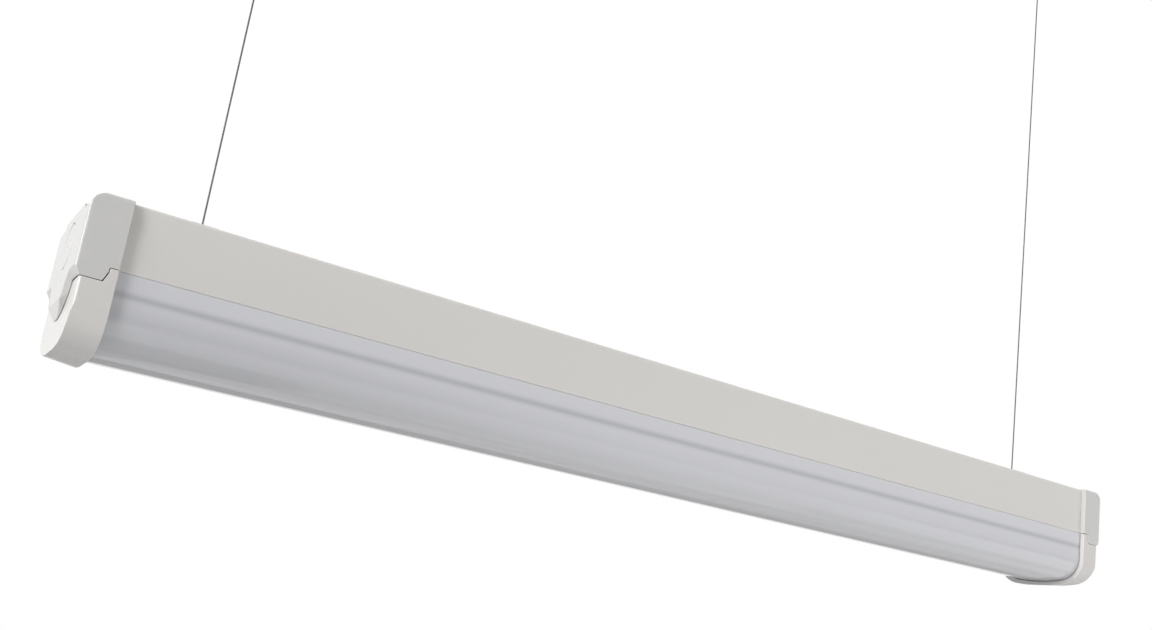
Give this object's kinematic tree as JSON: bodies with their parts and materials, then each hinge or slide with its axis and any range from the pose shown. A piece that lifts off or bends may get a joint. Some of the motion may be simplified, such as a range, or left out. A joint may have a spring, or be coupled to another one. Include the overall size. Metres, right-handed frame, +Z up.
{
  "type": "hanging shop light",
  "caption": "Slim batten shop light with an opal swing-down diffuser and stepped end caps, hung level on thin steel wires from ceiling grippers.",
  "frame": {"origin": "on the ceiling plane, midway between the two ceiling plates, at the centre of their four screw holes", "axes": "+X along the light towards its right end, +Y towards the hinged back, +Z up"},
  "size_m": [0.612, 0.0644, 0.4603],
  "materials": {
    "housing_paint": "satin powder coat",
    "tray_paint": "white gloss paint",
    "cap_plastic": "fine satin",
    "opal_plastic": "polished opal",
    "wire_steel": "drawn",
    "zinc": "zinc plated",
    "bright_steel": "ground",
    "dark_steel": "spring steel",
    "nickel": "satin nickel",
    "brass": "turned",
    "rubber": "moulded",
    "board_white": "solder resist",
    "board_green": "solder resist",
    "phosphor": "silicone",
    "case_plastic": "fine texture",
    "component_black": "sleeved",
    "lead_brown": "insulation",
    "lead_red": "insulation"
  },
  "bodies": {
    "ceiling": {"ceiling_plate_left": "zinc", "ceiling_plate_right": "zinc", "clevis_pins": "bright_steel", "pin_clips": "dark_steel"},
    "gripper_left": {"gripper_body_left": "nickel", "gripper_nose_left": "nickel", "spring_left": "dark_steel", "wire_tail_left": "wire_steel"},
    "gripper_right": {"gripper_body_right": "nickel", "gripper_nose_right": "nickel", "spring_right": "dark_steel", "wire_tail_right": "wire_steel"},
    "plunger_left": {"plunger_left": "nickel", "collet_left": "brass"},
    "plunger_right": {"plunger_right": "nickel", "collet_right": "brass"},
    "wire_left": {"wire_left": "wire_steel"},
    "wire_right": {"wire_right": "wire_steel"},
    "luminaire": {"saddle_left": "zinc", "saddle_right": "zinc", "saddle_screws": "zinc", "saddle_nuts": "zinc", "housing": "housing_paint", "upper_cap_left": "cap_plastic", "upper_cap_right": "cap_plastic", "cap_screws": "zinc", "cable_grommet": "rubber", "gear_tray": "tray_paint", "tray_screws": "zinc", "led_board_left": "board_white", "led_board_right": "board_white", "led_chips": "phosphor", "board_screws": "zinc", "driver_case": "case_plastic", "driver_board": "board_green", "driver_parts": "component_black", "driver_screws": "zinc", "terminal_block": "case_plastic", "terminal_screws": "brass", "supply_leads": "lead_brown", "led_leads": "lead_red", "hinge_leaves_housing": "zinc", "hinge_pins": "bright_steel"},
    "cover": {"diffuser": "opal_plastic", "lower_cap_left": "cap_plastic", "lower_cap_right": "cap_plastic", "seal_strips": "rubber", "hinge_leaves_diffuser": "zinc"}
  },
  "joints": [
    {"name": "side_swing", "type": "hinge", "parent": "ceiling", "child": "gripper_left", "pos_m": [-0.2585, 0, -0.0095], "axis": [1, 0, 0], "range_deg": [-15, 15]},
    {"name": "side_swing_right", "type": "hinge", "parent": "ceiling", "child": "gripper_right", "pos_m": [0.2585, 0, -0.0095], "axis": [1, 0, 0], "range_deg": [-15, 15]},
    {"name": "end_swing", "type": "hinge", "parent": "gripper_left", "child": "wire_left", "pos_m": [-0.2585, 0, -0.0462], "axis": [0, 1, 0], "range_deg": [-10, 10]},
    {"name": "left_ball", "type": "hinge", "parent": "wire_left", "child": "luminaire", "pos_m": [-0.2585, 0, -0.39695], "axis": [0, 1, 0], "range_deg": [-10, 10]},
    {"name": "right_ball", "type": "hinge", "parent": "luminaire", "child": "wire_right", "pos_m": [0.2585, 0, -0.39695], "axis": [0, 1, 0], "range_deg": [-10, 10]},
    {"name": "cover_hinge", "type": "hinge", "parent": "luminaire", "child": "cover", "pos_m": [0, 0.0312, -0.4277], "axis": [1, 0, 0], "range_deg": [0, 90]},
    {"name": "release_left", "type": "slide", "parent": "gripper_left", "child": "plunger_left", "axis": [0, 0, 1], "range_m": [0, 0.002], "stiffness_N_per_m": 2800, "springref_m": -0.001, "deforming": ["spring_left"]},
    {"name": "release_right", "type": "slide", "parent": "gripper_right", "child": "plunger_right", "axis": [0, 0, 1], "range_m": [0, 0.002], "stiffness_N_per_m": 2800, "springref_m": -0.001, "deforming": ["spring_right"]}
  ],
  "couplings": [
    {"joint": "side_swing_right", "follows": "side_swing", "ratio": 1},
    {"joint": "left_ball", "follows": "end_swing", "ratio": -1},
    {"joint": "right_ball", "follows": "end_swing", "ratio": 1}
  ]
}
